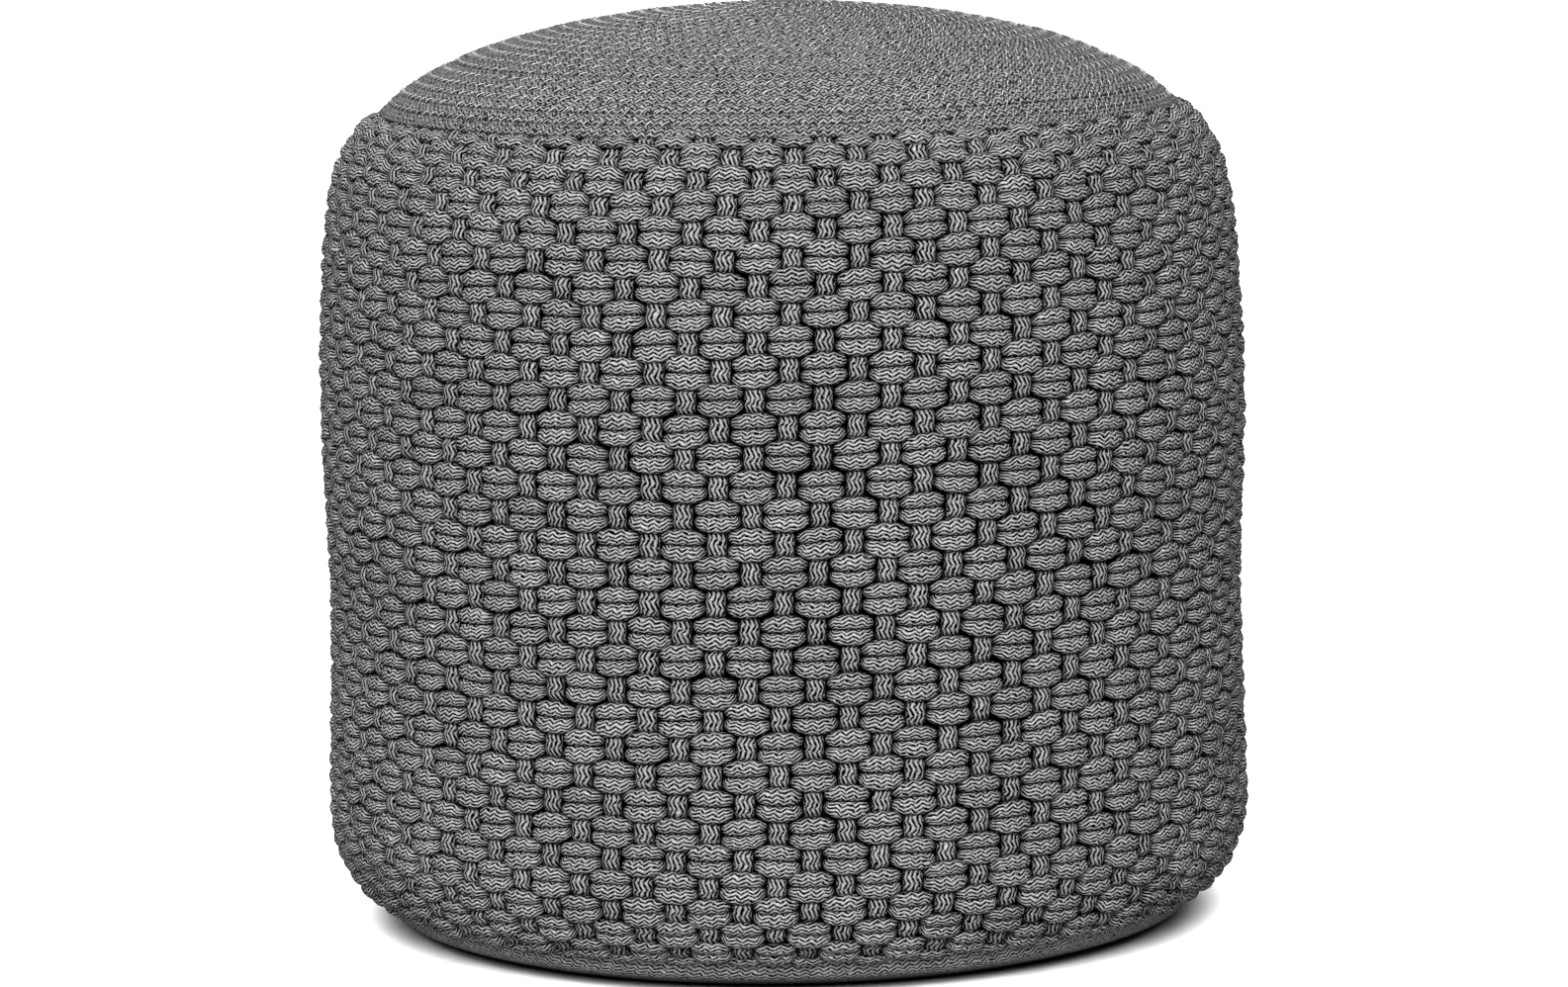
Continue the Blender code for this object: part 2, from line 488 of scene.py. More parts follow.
def add_ring_grid(
    parts: MeshParts,
    points: np.ndarray,
    along: np.ndarray,
    tone_and_painted_light: np.ndarray | float,
    is_flat_cut: bool = False,
) -> None:
    """Adds closed rings of points joined one to the next, with a pole at each end.

    Args:
        parts: The piece that takes them.
        points: Rings from top to bottom, (rings, steps, 3), each running from the front to the right.
        along: Each ring's length down the profile.
        tone_and_painted_light: The surface's brightness, one for all or one for each ring.
        is_flat_cut: Whether the piece is a round cut from flat cloth. Its UV is then the place on that flat
            round, along times the sine and the cosine of the angle. Otherwise it is along and the part of a
            turn.
    """
    rings, steps, _ = points.shape
    tone_and_painted_light = np.broadcast_to(tone_and_painted_light, (rings, steps))
    start = parts.add(points, tone_and_painted_light)
    index = start + np.arange(rings * steps).reshape(rings, steps)
    beside = np.roll(index, -1, axis=1)
    quads = np.stack([index[:-1], index[1:], beside[1:], beside[:-1]], axis=-1)
    u = np.broadcast_to(along[:, None], (rings, steps))
    v = np.broadcast_to(np.arange(steps) / steps, (rings, steps))
    v_next = v + 1.0 / steps
    us = np.stack([u[:-1], u[1:], u[1:], u[:-1]], axis=-1)
    vs = np.stack([v[:-1], v[1:], v_next[1:], v_next[:-1]], axis=-1)
    if is_flat_cut:
        us, vs = us * np.sin(2 * np.pi * vs), us * np.cos(2 * np.pi * vs)
    parts.add_faces(quads, np.stack([us, vs], axis=-1))
    for ring, row, order in ((0, index[0], 1), (-1, index[-1], -1)):
        pole = parts.add(points[ring].mean(axis=0)[None, :], tone_and_painted_light[ring, :1])
        fan = np.stack([np.full(steps, pole), row[::order], np.roll(row[::order], -1)], axis=-1)
        parts.add_faces(fan, np.zeros((steps, 3, 2)))


class Graph:
    """A short way to add shader nodes to one tree."""

    def __init__(self, tree: bpy.types.NodeTree) -> None:
        """Keeps the node tree that the calls add to."""
        self.tree = tree

    def node(self, kind: str, **values: object) -> bpy.types.Node:
        """Adds a node.

        Args:
            kind: The node's type.
            values: Its properties, by name.

        Returns:
            The new node.
        """
        made = self.tree.nodes.new(kind)
        for name, value in values.items():
            setattr(made, name, value)
        return made

    def feed(self, socket: bpy.types.NodeSocket, value: object) -> None:
        """Links an output to a socket, or sets the socket to a plain value.

        Args:
            socket: The input to feed.
            value: The output or the plain value.
        """
        if isinstance(value, bpy.types.NodeSocket):
            self.tree.links.new(value, socket)
        else:
            socket.default_value = value

    def math(self, operation: str, *values: object) -> bpy.types.NodeSocket:
        """Adds a Math node.

        Args:
            operation: What it works out.
            values: What feeds its inputs, in order.

        Returns:
            Its output.
        """
        made = self.node("ShaderNodeMath", operation=operation)
        for socket, value in zip(made.inputs, values):
            self.feed(socket, value)
        return made.outputs[0]

    def remap(
        self, value: object, low: float, high: float, to_low: float, to_high: float
    ) -> bpy.types.NodeSocket:
        """Adds a smooth, clamped Map Range.

        Args:
            value: What it reads.
            low: Where the change starts.
            high: Where it ends.
            to_low: The result up to low.
            to_high: The result from high on.

        Returns:
            Its output.
        """
        made = self.node("ShaderNodeMapRange", interpolation_type="SMOOTHSTEP")
        for socket, entry in zip(made.inputs, (value, low, high, to_low, to_high)):
            self.feed(socket, entry)
        return made.outputs[0]

    def noise(
        self, vector: object, scale: float, detail: float = 2.0, roughness: float = 0.5
    ) -> bpy.types.NodeSocket:
        """Adds a Noise Texture.

        Args:
            vector: Where it is read.
            scale: How fine it is.
            detail: How many finer layers it has.
            roughness: How strong those layers are.

        Returns:
            Its value, from 0 to 1.
        """
        made = self.node("ShaderNodeTexNoise")
        self.feed(made.inputs["Vector"], vector)
        made.inputs["Scale"].default_value = scale
        made.inputs["Detail"].default_value = detail
        made.inputs["Roughness"].default_value = roughness
        return made.outputs[0]

    def combine(self, x: object, y: object) -> bpy.types.NodeSocket:
        """Adds a vector made of two values, with 0 for its z.

        Args:
            x: The first value.
            y: The second value.

        Returns:
            The vector.
        """
        made = self.node("ShaderNodeCombineXYZ")
        for socket, value in zip(made.inputs, (x, y)):
            self.feed(socket, value)
        return made.outputs[0]

    def group(self, tree: bpy.types.NodeTree, **values: object) -> bpy.types.Node:
        """Places a node group.

        Args:
            tree: The group.
            values: What feeds its inputs, by name.

        Returns:
            The new node.
        """
        made = self.node("ShaderNodeGroup", node_tree=tree)
        for name, value in values.items():
            self.feed(made.inputs[name], value)
        return made


def new_group(
    name: str, inputs: dict[str, str], outputs: tuple[str, ...]
) -> tuple[bpy.types.NodeTree, Graph, dict[str, bpy.types.NodeSocket], dict[str, bpy.types.NodeSocket]]:
    """Starts a node group.

    Args:
        name: The group's name.
        inputs: Names of its inputs, each with its socket kind.
        outputs: Names of its outputs, which are numbers.

    Returns:
        The tree, a Graph on it, its inputs' sockets by name and its outputs' sockets by name.
    """
    tree = bpy.data.node_groups.new(name, "ShaderNodeTree")
    for label, kind in inputs.items():
        tree.interface.new_socket(name=label, in_out="INPUT", socket_type=kind)
    for label in outputs:
        tree.interface.new_socket(name=label, in_out="OUTPUT", socket_type=NUMBER)
    graph = Graph(tree)
    entry = graph.node("NodeGroupInput")
    leave = graph.node("NodeGroupOutput")
    given = {label: entry.outputs[label] for label in inputs}
    result = {label: leave.inputs[label] for label in outputs}
    return tree, graph, given, result


@dataclass(frozen=True)
class Braid:
    """The braid of a cord: strands that run along it in zigzags, with a dark slit between each two.

    The strands wander a little. Where a slow noise is low, a slit keeps only gap_slit of its dark. A strand
    is made of threads, and fuzz is the uneven look of their fibres.
    """

    wander_scale: float = 260.0
    wander_along: float = 0.5
    wander_across: float = 0.6
    roundness: float = 3.0
    slit: Span = (0.36, 0.62)
    gap_scale: float = 1.3
    gap_stretch: float = 4.0
    turn_gap: float = 0.14
    gap: Span = (0.26, 0.50)
    gap_slit: float = 0.32
    threads: float = 6.0
    thread_share: float = 0.45
    fuzz_along: float = 6.0
    fuzz_across: float = 7.0
    fuzz_share: float = 0.75

    def group(self) -> bpy.types.NodeTree:
        """Builds the group.

        A strand's number is the way round the cord, in strands, plus a triangle wave of the way along it.
        Its height is round between two slits. The slits have gaps, more of them where the strands turn.

        Returns:
            A group with Strand, Slit and Fibre outputs.
        """
        inputs = {"UV": VECTOR, "Place": VECTOR, "Strands": NUMBER, "Zigzag": NUMBER, "Swing": NUMBER}
        tree, graph, given, result = new_group("cord_braid", inputs, ("Strand", "Slit", "Fibre"))
        split = graph.node("ShaderNodeSeparateXYZ")
        graph.feed(split.inputs[0], given["UV"])
        wander = graph.math("SUBTRACT", graph.noise(given["Place"], self.wander_scale, 1.0), 0.5)
        along = graph.math("DIVIDE", split.outputs[0], given["Zigzag"])
        along = graph.math("ADD", along, graph.math("MULTIPLY", wander, self.wander_along))
        wave = graph.math("PINGPONG", graph.math("MULTIPLY", along, 2.0), 1.0)
        lift = graph.math("MULTIPLY", wave, given["Swing"])
        across = graph.math("MULTIPLY", split.outputs[1], given["Strands"])
        across = graph.math("ADD", across, lift)
        strand = graph.math("ADD", across, graph.math("MULTIPLY", wander, self.wander_across))
        from_middle = graph.math("SUBTRACT", graph.math("FRACT", strand), 0.5)
        from_middle = graph.math("MULTIPLY", graph.math("ABSOLUTE", from_middle), 2.0)
        hollow = graph.math("POWER", from_middle, self.roundness)
        graph.feed(result["Strand"], graph.math("SUBTRACT", 1.0, hollow))
        turning = graph.math("SUBTRACT", graph.math("MULTIPLY", wave, 2.0), 1.0)
        turning = graph.math("MULTIPLY", graph.math("ABSOLUTE", turning), self.turn_gap)
        place = graph.combine(graph.math("MULTIPLY", along, self.gap_stretch), strand)
        whole = graph.math("SUBTRACT", graph.noise(place, self.gap_scale, 1.0), turning)
        whole = graph.remap(whole, *self.gap, self.gap_slit, 1.0)
        opened = graph.remap(from_middle, *self.slit, 0.0, 1.0)
        graph.feed(result["Slit"], graph.math("MULTIPLY", opened, whole))
        thread = graph.math("PINGPONG", graph.math("MULTIPLY", strand, self.threads), 1.0)
        thread = graph.math("MULTIPLY", thread, self.thread_share)
        place = graph.combine(
            graph.math("MULTIPLY", along, self.fuzz_along), graph.math("MULTIPLY", strand, self.fuzz_across)
        )
        fuzz = graph.math("MULTIPLY", graph.noise(place, 1.0, 2.0), self.fuzz_share)
        graph.feed(result["Fibre"], graph.math("ADD", thread, fuzz))
        return tree


@dataclass(frozen=True)
class DyedToneAndPaintedLight:
    """The uneven tone of dyed cord: slow patches over the whole pouf, fine specks and the cord's fibres."""

    patch_scale: float = 14.0
    patch_strength: float = 0.18
    speck_scale: float = 900.0
    speck_roughness: float = 0.7
    speck_strength: float = 0.9
    fibre_middle: float = 0.6
    fibre_strength: float = 1.5

    def group(self) -> bpy.types.NodeTree:
        """Builds the group: one factor near 1, times the tint.

        Returns:
            A group with a Tone output.
        """
        inputs = {"Place": VECTOR, "Tint": NUMBER, "Fibre": NUMBER}
        tree, graph, given, result = new_group("dyed_tone_and_painted_light", inputs, ("Tone",))
        patches = graph.noise(given["Place"], self.patch_scale, 2.0)
        specks = graph.noise(given["Place"], self.speck_scale, 2.0, self.speck_roughness)
        tone = 1.0
        for value, middle, strength in (
            (patches, 0.5, self.patch_strength),
            (specks, 0.5, self.speck_strength),
            (given["Fibre"], self.fibre_middle, self.fibre_strength),
        ):
            change = graph.math("MULTIPLY", graph.math("SUBTRACT", value, middle), strength)
            tone = graph.math("ADD", tone, change)
        # The random tone of the dye, times the tone and painted light given for each point
        graph.feed(result["Tone"], graph.math("MULTIPLY", tone, given["Tint"]))
        return tree


@dataclass
class FinishBench:
    """A new material, with what every finish reads and what every finish ends in.

    It reads the place on the pouf, the piece's own UV map and its tint. It ends in a grey colour, a
    roughness, a shine and a relief on the Principled shader.
    """

    name: str
    made: bpy.types.Material = field(init=False)
    graph: Graph = field(init=False)
    place: bpy.types.NodeSocket = field(init=False)
    uv: bpy.types.NodeSocket = field(init=False)
    tone_and_painted_light: bpy.types.NodeSocket = field(init=False)

    def __post_init__(self) -> None:
        """Starts the material."""
        self.made = bpy.data.materials.new(self.name)
        self.made.use_nodes = True
        self.graph = Graph(self.made.node_tree)
        self.place = self.graph.node("ShaderNodeTexCoord").outputs["Object"]
        self.uv = self.graph.node("ShaderNodeUVMap", uv_map=UV_MAP).outputs[0]
        self.tone_and_painted_light = self.graph.node("ShaderNodeAttribute", attribute_name=TONE_AND_PAINTED_LIGHT).outputs["Fac"]

    def finish(self, level: object, roughness: float, shine: float, height: object, relief: float) -> None:
        """Feeds the shader.

        Args:
            level: The colour, as one grey.
            roughness: The surface's roughness.
            shine: Its specular level.
            height: The relief's height, from 0 to about 1.
            relief: The relief's depth, in metres.
        """
        shader = self.made.node_tree.nodes["Principled BSDF"]
        colour = self.graph.node("ShaderNodeCombineColor")
        for socket in colour.inputs[:3]:
            self.graph.feed(socket, level)
        self.graph.feed(shader.inputs["Base Color"], colour.outputs[0])
        shader.inputs["Roughness"].default_value = roughness
        shader.inputs["Specular IOR Level"].default_value = shine
        bump = self.graph.node("ShaderNodeBump")
        bump.inputs["Strength"].default_value = 1.0
        bump.inputs["Distance"].default_value = relief
        self.graph.feed(bump.inputs["Height"], height)
        self.graph.feed(shader.inputs["Normal"], bump.outputs[0])


@dataclass(frozen=True)
class CordFinish:
    """The look of one kind of braided cord or fabric."""

    name: str
    grey: float
    strands: float
    zigzag: float
    swing: float = 0.84
    slit_shade: float = 0.0
    relief: float = 0.0010
    roughness: float = 0.95
    pit_shade: float = 0.0
    pit_scale: float = 430.0
    pit_edge: Span = (0.34, 0.42)
    fibre_relief: float = 0.35
    fuzz_scale: float = 1500.0
    fuzz_relief: float = 0.25

    def material(self, braid: bpy.types.NodeTree, tone: bpy.types.NodeTree) -> bpy.types.Material:
        """Builds the material.

        Args:
            braid: The braid group.
            tone: The group of dyed tone and painted light.

        Returns:
            A matte material that reads the piece's UV map and its tint.
        """
        bench = FinishBench(self.name)
        graph = bench.graph
        cord = graph.group(
            braid,
            UV=bench.uv,
            Place=bench.place,
            Strands=self.strands,
            Zigzag=self.zigzag,
            Swing=self.swing,
        )
        # The cord's dyed tone times its painted light and painted shade
        dyed = graph.group(tone, Place=bench.place, Tint=bench.tone_and_painted_light, Fibre=cord.outputs["Fibre"])
        # Painted shade in the slits between the strands
        shade = graph.math("MULTIPLY_ADD", cord.outputs["Slit"], self.slit_shade - 1.0, 1.0)
        level = graph.math("MULTIPLY", graph.math("MULTIPLY", dyed.outputs["Tone"], shade), self.grey)
        # Painted shade in small pits, scattered by a noise
        if self.pit_shade > 0.0:
            speckle = graph.noise(bench.place, self.pit_scale, 1.0)
            painted_pit_shade = graph.remap(speckle, *self.pit_edge, 1.0 - self.pit_shade, 1.0)
            level = graph.math("MULTIPLY", level, painted_pit_shade)
        fuzz = graph.math("MULTIPLY", graph.noise(bench.place, self.fuzz_scale, 2.0), self.fuzz_relief)
        fibres = graph.math("MULTIPLY", cord.outputs["Fibre"], self.fibre_relief)
        height = graph.math("ADD", cord.outputs["Strand"], graph.math("ADD", fibres, fuzz))
        bench.finish(level, self.roughness, 0.0, height, self.relief)
        return bench.made


@dataclass(frozen=True)
class ThreadFinish:
    """The look of the sewing thread on the top: grey, smooth and a little shiny."""

    name: str = "sewing_thread"
    grey: float = 0.15
    roughness: float = 0.45
    shine: float = 0.35
    relief: float = 0.0001
    twists: float = 900.0
    groove_shade: float = 0.8
    patch_scale: float = 120.0
    patch_rise: Span = (0.3, 0.7)
    patch_tones: Span = (0.8, 1.1)

    def material(self) -> bpy.types.Material:
        """Builds the material: a grey in slow patches, with a fine twist along the thread.

        Returns:
            A slightly shiny material that reads the piece's UV map and its tint.
        """
        bench = FinishBench(self.name)
        graph = bench.graph
        split = graph.node("ShaderNodeSeparateXYZ")
        graph.feed(split.inputs[0], bench.uv)
        along = graph.math("MULTIPLY", split.outputs[0], self.twists)
        turn = graph.math("ADD", along, graph.math("MULTIPLY", split.outputs[1], 2.0))
        twist = graph.math("PINGPONG", turn, 1.0)
        patches = graph.noise(bench.place, self.patch_scale)
        level = graph.math("MULTIPLY", graph.remap(patches, *self.patch_rise, *self.patch_tones), self.grey)
        # Painted shade in the grooves of the thread's twist
        level = graph.math("MULTIPLY", level, graph.remap(twist, 0.0, 1.0, self.groove_shade, 1.0))
        level = graph.math("MULTIPLY", level, bench.tone_and_painted_light)
        bench.finish(level, self.roughness, self.shine, twist, self.relief)
        return bench.made


@dataclass
class Finishes:
    """Every finish on the pouf, built once."""

    weft: bpy.types.Material
    warp: bpy.types.Material
    coil: bpy.types.Material
    base: bpy.types.Material
    body: bpy.types.Material
    thread: bpy.types.Material

    @classmethod
    def build(cls) -> "Finishes":
        """Builds the shared groups and the materials that use them.

        Returns:
            The finishes.
        """
        groups = (Braid().group(), DyedToneAndPaintedLight().group())
        weft = CordFinish("weft_cord", grey=0.128, strands=10.5, zigzag=0.0061)
        warp = CordFinish("warp_cord", grey=0.109, strands=10.5, zigzag=0.0063)
        coil = CordFinish("coil_cord", grey=0.112, strands=9.0, zigzag=0.0048, slit_shade=0.16, pit_shade=0.75)
        base = CordFinish("base_braid", grey=0.185, strands=400.0, zigzag=0.0062, slit_shade=0.12)
        # Near-black grey: painted shade in the gaps between the cords
        body = CordFinish("filled_body_painted_shade", grey=0.02, strands=400.0, zigzag=0.006, relief=0.0002)
        cords = [finish.material(*groups) for finish in (weft, warp, coil, base, body)]
        return cls(*cords, ThreadFinish().material())


@dataclass
# The body's near-black grey is painted shade between the cords
class FilledBody:
    """The filled drum that the cords are drawn round. It shows only as the dark between them."""

    layout: WeaveLayout
    finish: bpy.types.Material
    behind_weave: float = 0.0150
    under_panels: float = 0.0058
    deepens: Span = (-0.016, 0.006)
    first_ring: float = 0.004
    steps: int = 96
    rings: int = 64

    def build(self) -> bpy.types.Object:
        """Turns the outline, set in behind the weave and less deep under the two panels.

        Returns:
            The body's object.
        """
        outline = self.layout.outline
        along = np.linspace(self.first_ring, outline.total, self.rings)
        deep = smooth_step(along - self.layout.top_rim, *self.deepens)
        deep = deep * smooth_step(self.layout.base_rim - along, *self.deepens)
        depth = self.under_panels + (self.behind_weave - self.under_panels) * deep
        facing = np.linspace(0.0, 2 * np.pi, self.steps, endpoint=False)
        points = outline.surface(facing, along[:, None], depth[:, None])
        parts = MeshParts()
        add_ring_grid(parts, points, along, tone_and_painted_light=1.0)
        piece = parts.make_piece("filled_body", self.finish, Part.SIDE)
        return piece


@dataclass
class WarpCords:
    """The upright cords, each over and under the weft by turns, standing further out where it shows.

    A warp shows in every second row. Its steps and dives are told in rows from the middle of such a row,
    and its wander in radians from step to step.
    """

    layout: WeaveLayout
    finish: bpy.types.Material
    seed: int = 11
    half_width: float = 0.0050
    half_depth: float = 0.0032
    shown_depth: float = 0.0053
    hidden_depth: float = 0.0098
    dives: Span = (0.22, 0.66)
    steps: tuple[float, ...] = (-0.55, -0.38, -0.20, 0.0, 0.20, 0.38, 0.55, 1.0)
    rows_above: int = 3
    rows_below: int = 2
    tuck: float = 0.013
    # What is left of the tone at the warp's sides: painted shade
    side_shade: float = 0.30
    shade_depths: Span = (0.0058, 0.0082)
    shade_loss: float = 0.9
    wander: float = 0.00035 / 3.0
    wander_fade: float = 0.03
    start_spread: float = 0.1
    swell: float = 0.06
    size_spread: float = 0.03
    tone_change: Uneven = Uneven(0.05, 0.15)

    def build(self) -> bpy.types.Object:
        """Sweeps the warps.

        A warp's depth goes from shown_depth to hidden_depth and back with the weft's rows: it is shown
        where the weft passes behind it and hidden where the weft passes over it. Its tone falls where it is
        deep, as painted shade between the cords: 1 less shade_loss times a smooth step, squared.

        Returns:
            The warps' object.
        """
        layout = self.layout
        rng = np.random.default_rng(self.seed)
        warp = np.arange(layout.warps)
        shown = (warp - self.rows_above + 1) % 2 - self.rows_above
        pairs = (layout.rows + self.rows_above + self.rows_below) // 2
        row = shown[:, None, None] + 2 * np.arange(pairs)[None, :, None] + np.array(self.steps)
        row = row.reshape(layout.warps, -1)
        along = layout.row_along(row + warp[:, None] / layout.warps)
        keep = (along > layout.top_rim - self.tuck) & (along < layout.base_rim + self.tuck)
        shortest = keep.sum(axis=1).min()
        pick = keep.argmax(axis=1)[:, None] + np.arange(shortest)
        along = np.take_along_axis(along, pick, axis=1)
        row = np.take_along_axis(row, pick, axis=1)
        near = np.abs((row - shown[:, None] + 1.0) % 2.0 - 1.0)
        depth = self.shown_depth + (self.hidden_depth - self.shown_depth) * smooth_step(near, *self.dives)
        # Painted shade: the tone falls where the warp lies deep between the cords
        shade = (1.0 - self.shade_loss * smooth_step(depth, *self.shade_depths)) ** 2
        depth = depth + layout.sink(along)
        wobble = np.cumsum(rng.normal(0.0, 1.0, along.shape), axis=1)
        wobble = wobble - np.linspace(0, 1, shortest) * wobble[:, -1:]
        wobble = wobble * smooth_step(along, layout.top_rim, layout.top_rim + self.wander_fade)
        facing = layout.facing(warp[:, None], along) + self.wander * wobble
        path = layout.outline.surface(facing, layout.tilted(facing, along), depth)
        normal = layout.outline.normals(facing, along)
        size = 1.0 + self.size_spread * rng.normal(size=(layout.warps, 1))
        size = size * (1.0 + self.swell * np.cos(np.pi * np.clip(near, 0.0, 1.0)))
        tone_and_painted_light = (1.0 + self.tone_change.draw(rng, (layout.warps, 1))) * shade
        half_width = self.half_width * size
        half_depth = self.half_depth * size
        starts = rng.uniform(0.0, self.start_spread, layout.warps)
        parts = MeshParts()
        Sweep(side_shade=self.side_shade).add(parts, path, normal, half_width, half_depth, tone_and_painted_light, starts)
        return parts.make_piece("warp_cords", self.finish, Part.SIDE)


@dataclass
class WeftCords:
    """The pair of cords that winds round the pouf, over and under the warps, side by side.

    Where the pair shows over a warp it makes a pillow. The way across it is q, 0 over the middle warp and 1
    behind the next one, and the pillow ends at pillow_end.
    """

    layout: WeaveLayout
    finish: bpy.types.Material
    seed: int = 23
    crest_depth: float = 0.0034
    under_depth: float = 0.0118
    crest_width: float = 0.0090
    end_width: float = 0.0034
    half_depth: float = 0.0033
    pillow_end: float = 0.61
    depth_power: float = 5.0
    width_power: float = 2.3
    steps: tuple[float, ...] = (0.24, 0.42, 0.52, 0.575)
    rows_above: int = 2
    top_tuck: float = 0.016
    base_tuck: float = 0.010
    # Painted shade at the pillow's ends, where the pair dives under the warps
    end_shade: float = 0.02
    darkens: Span = (0.49, 0.59)
    thinning: float = 0.30
    thins: Span = (0.44, 0.60)
    height_change: Uneven = Uneven(0.035, 0.070)
    rise: Uneven = Uneven(0.00045, 0.001)
    lean: Uneven = Uneven(0.045, math.inf)
    share: Uneven = Uneven(0.05, 0.12)
    bulge: Uneven = Uneven(0.0003, 0.0006)
    tone_change: Uneven = Uneven(0.045, 0.12)
    cord_lag: float = 0.0031
    step_lag: float = 0.0035
    bands: int = 4

    def build(self) -> list[bpy.types.Object]:
        """Sweeps the two cords, in bands of whole pillows.

        A pillow is round at its ends: its depth rises from crest_depth to under_depth as 1 less the root of
        1 - (q / pillow_end)^depth_power, and the pair's height falls from crest_width to end_width as the
        root of 1 - (q / pillow_end)^width_power. From pillow to pillow, height_change is of the pair's
        height, rise and lean are of its place, share is what one cord takes from the other, and bulge is of
        its depth.

        Returns:
            One object for each band.
        """
        layout = self.layout
        rng = np.random.default_rng(self.seed)
        first = -self.rows_above * layout.warps
        over = np.arange(first - first % 2, (layout.rows + 1) * layout.warps, 2)
        count = len(over)
        out = np.array([*self.steps, self.pillow_end])
        q = np.array([-1.0, *-out[::-1], 0.0, *out])
        per_pillow = len(q)
        warps = (over[:, None] + q).ravel()
        along = layout.row_along(warps / layout.warps)
        q = np.tile(q, count)
        near = np.abs(q)
        pillow = np.repeat(np.arange(count), per_pillow)
        way_out = np.minimum(near / self.pillow_end, 1.0)
        fall = 1.0 - np.sqrt(1.0 - way_out**self.depth_power)
        depth = self.crest_depth + (self.under_depth - self.crest_depth) * fall
        full = np.sqrt(1.0 - way_out**self.width_power)
        height = self.end_width + (self.crest_width - self.end_width) * full
        height = height * (1.0 + self.height_change.draw(rng, count)[pillow])
        place = along + self.rise.draw(rng, count)[pillow]
        place = place + self.lean.draw(rng, count)[pillow] * q * layout.row_pitch
        share = self.share.draw(rng, count)[pillow] * (1.0 - near)
        depth = depth + self.bulge.draw(rng, count)[pillow] * (1.0 - near)
        tone = 1.0 + self.tone_change.draw(rng, count)[pillow]
        # Painted shade: the tone falls toward the pillow's ends
        tone = tone * (1.0 - (1.0 - self.end_shade) * smooth_step(near, *self.darkens))
        thick = self.half_depth * (1.0 - self.thinning * smooth_step(near, *self.thins))
        facing = layout.facing(warps, along)
        keep = (along > layout.top_rim - self.top_tuck) & (along < layout.base_rim + self.base_tuck)
        chosen = np.flatnonzero(keep)
        limits = np.linspace(chosen[0], chosen[-1], self.bands + 1).astype(int)
        limits[1:-1] = limits[1:-1] // per_pillow * per_pillow
        pieces = []
        for band, (low, high) in enumerate(zip(limits, limits[1:]), start=1):
            run = slice(low, high + 1)
            parts = MeshParts()
            for cord, way in enumerate((-1.0, 1.0)):
                half = height / 2.0 * (1.0 + way * share)
                middle = place + (way - share) * height / 2.0
                sunk = depth + layout.sink(middle)
                path = layout.outline.surface(facing, layout.tilted(facing, middle), sunk)
                normal = layout.outline.normals(facing, middle)
                columns = [column[run][None] for column in (path, normal, half, thick, tone)]
                start = np.array([self.cord_lag * cord + self.step_lag * float(low)])
                Sweep().add(parts, *columns, start, twin=way)
            pieces.append(parts.make_piece(f"weft_cords_band_{band}", self.finish, Part.SIDE))
        return pieces


